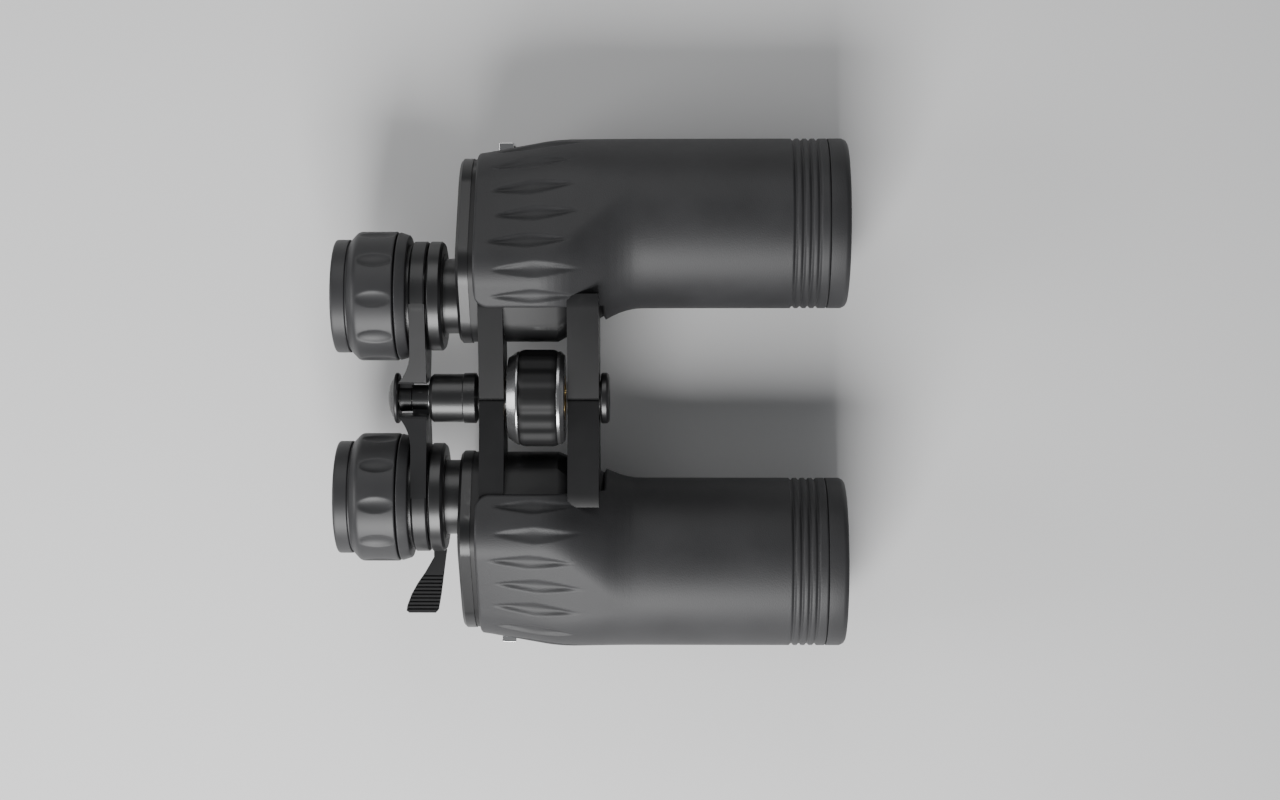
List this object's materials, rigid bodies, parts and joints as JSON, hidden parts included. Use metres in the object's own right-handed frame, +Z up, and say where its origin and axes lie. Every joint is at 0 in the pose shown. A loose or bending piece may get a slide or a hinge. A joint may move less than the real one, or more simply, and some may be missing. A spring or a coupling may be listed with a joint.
{
  "type": "binoculars",
  "caption": "Zoom Porro-prism binoculars with rubber armour, folding hinge, focus wheel, zoom lever, dioptre ring and twist-up eyecups.",
  "frame": {"origin": "on the ground under the central hinge, half-way along the length", "axes": "+X the user's right, +Y towards the objectives, +Z up"},
  "size_m": [0.184, 0.182, 0.0701],
  "materials": {
    "housing_paint": "satin black paint",
    "cover_paint": "semi-gloss black paint",
    "armour_rubber": "matte, fine grain",
    "eyecup_rubber": "soft-touch, satin",
    "grip_rubber": "matte",
    "inner_alloy": "black anodised",
    "prism_glass": "polished",
    "lens_glass": "coated",
    "spring_steel": "bright",
    "bright_steel": "polished",
    "ring_paint": "semi-gloss",
    "cam_plastic": "plain",
    "wheel_alloy": "polished",
    "nut_brass": "plain",
    "arm_paint": "semi-gloss black paint",
    "lever_plastic": "satin"
  },
  "bodies": {
    "left_barrel": {"left_housing": "housing_paint", "left_rear_cover": "cover_paint", "left_armour": "armour_rubber", "left_prism_shelf": "inner_alloy", "left_front_prism": "prism_glass", "left_rear_prism": "prism_glass", "left_prism_clips": "spring_steel", "left_objective_tube": "housing_paint", "left_objective_cell": "inner_alloy", "left_crown_lens": "lens_glass", "left_flint_lens": "lens_glass", "left_lens_ring": "ring_paint", "left_front_rim": "armour_rubber", "left_strap_lug": "bright_steel", "rear_hinge_tube": "ring_paint", "front_hinge_tube": "ring_paint", "guide_pin": "spring_steel", "tripod_cap": "ring_paint"},
    "right_barrel": {"right_housing": "housing_paint", "right_rear_cover": "cover_paint", "right_armour": "armour_rubber", "right_prism_shelf": "inner_alloy", "right_front_prism": "prism_glass", "right_rear_prism": "prism_glass", "right_prism_clips": "spring_steel", "right_objective_tube": "housing_paint", "right_objective_cell": "inner_alloy", "right_crown_lens": "lens_glass", "right_flint_lens": "lens_glass", "right_lens_ring": "ring_paint", "right_front_rim": "armour_rubber", "right_strap_lug": "bright_steel"},
    "focus_knob": {"focus_wheel": "wheel_alloy", "focus_grip": "grip_rubber", "focus_nut": "nut_brass"},
    "bridge": {"left_arm": "arm_paint", "focus_spindle": "spring_steel", "bridge_cap": "arm_paint", "left_eyepiece_tube": "ring_paint", "left_field_lens": "lens_glass"},
    "right_eyepiece": {"right_arm": "arm_paint", "right_eyepiece_tube": "ring_paint", "right_field_lens": "lens_glass", "right_eye_cell": "ring_paint", "right_eye_lens": "lens_glass", "right_collar_ring": "eyecup_rubber"},
    "left_zoom_turner": {"left_zoom_ring": "ring_paint"},
    "left_zoom_carrier": {"left_zoom_cell": "inner_alloy", "left_zoom_lens": "lens_glass"},
    "left_cup_turner": {"left_eyecup_cam": "cam_plastic"},
    "left_cup": {"left_eyecup": "eyecup_rubber"},
    "right_zoom_turner": {"right_zoom_ring": "ring_paint", "zoom_lever": "lever_plastic"},
    "right_zoom_carrier": {"right_zoom_cell": "inner_alloy", "right_zoom_lens": "lens_glass"},
    "right_cup_turner": {"right_eyecup_cam": "cam_plastic"},
    "right_cup": {"right_eyecup": "eyecup_rubber"},
    "dioptre": {"left_dioptre_ring": "eyecup_rubber"},
    "left_eye_group": {"left_eye_cell": "ring_paint", "left_eye_lens": "lens_glass"}
  },
  "joints": [
    {"name": "hinge_fold", "type": "hinge", "parent": "left_barrel", "child": "right_barrel", "pos_m": [0, 0, 0.05], "axis": [0, 1, 0], "range_deg": [0, 63]},
    {"name": "focus_travel", "type": "slide", "parent": "left_barrel", "child": "bridge", "axis": [0, -1, 0], "range_m": [0, 0.008]},
    {"name": "focus_turn", "type": "hinge", "parent": "left_barrel", "child": "focus_knob", "pos_m": [0, 0, 0.05], "axis": [0, 1, 0], "range_deg": [0, 480]},
    {"name": "right_arm_pivot", "type": "hinge", "parent": "bridge", "child": "right_eyepiece", "pos_m": [0, 0, 0.05], "axis": [0, 1, 0], "range_deg": [0, 63]},
    {"name": "zoom_turn", "type": "hinge", "parent": "right_eyepiece", "child": "right_zoom_turner", "pos_m": [0.036, 0, 0.045], "axis": [0, 1, 0], "range_deg": [-60, 0]},
    {"name": "left_zoom_turn", "type": "hinge", "parent": "bridge", "child": "left_zoom_turner", "pos_m": [-0.036, 0, 0.045], "axis": [0, 1, 0], "range_deg": [-60, 0]},
    {"name": "right_zoom_travel", "type": "slide", "parent": "right_eyepiece", "child": "right_zoom_carrier", "axis": [0, 1, 0], "range_m": [0, 0.006]},
    {"name": "left_zoom_travel", "type": "slide", "parent": "bridge", "child": "left_zoom_carrier", "axis": [0, 1, 0], "range_m": [0, 0.006]},
    {"name": "dioptre_travel", "type": "slide", "parent": "bridge", "child": "left_eye_group", "axis": [0, -1, 0], "range_m": [-0.0008, 0.0008]},
    {"name": "dioptre_turn", "type": "hinge", "parent": "bridge", "child": "dioptre", "pos_m": [-0.036, 0, 0.045], "axis": [0, 1, 0], "range_deg": [-40, 40]},
    {"name": "left_cup_turn", "type": "hinge", "parent": "bridge", "child": "left_cup_turner", "pos_m": [-0.036, 0, 0.045], "axis": [0, 1, 0], "range_deg": [0, 120]},
    {"name": "left_cup_rise", "type": "slide", "parent": "left_cup_turner", "child": "left_cup", "axis": [0, -1, 0], "range_m": [0, 0.006]},
    {"name": "right_cup_turn", "type": "hinge", "parent": "right_eyepiece", "child": "right_cup_turner", "pos_m": [0.036, 0, 0.045], "axis": [0, 1, 0], "range_deg": [0, 120]},
    {"name": "right_cup_rise", "type": "slide", "parent": "right_cup_turner", "child": "right_cup", "axis": [0, -1, 0], "range_m": [0, 0.006]}
  ],
  "couplings": [
    {"joint": "focus_turn", "follows": "focus_travel", "rad_per_m": 1047.2},
    {"joint": "right_arm_pivot", "follows": "hinge_fold", "ratio": 1},
    {"joint": "left_zoom_turn", "follows": "zoom_turn", "ratio": 1},
    {"joint": "right_zoom_travel", "follows": "zoom_turn", "m_per_rad": -0.0057295},
    {"joint": "left_zoom_travel", "follows": "zoom_turn", "m_per_rad": -0.0057295},
    {"joint": "dioptre_turn", "follows": "dioptre_travel", "rad_per_m": 872.66},
    {"joint": "left_cup_rise", "follows": "left_cup_turn", "m_per_rad": 0.0028648},
    {"joint": "right_cup_rise", "follows": "right_cup_turn", "m_per_rad": 0.0028648}
  ]
}
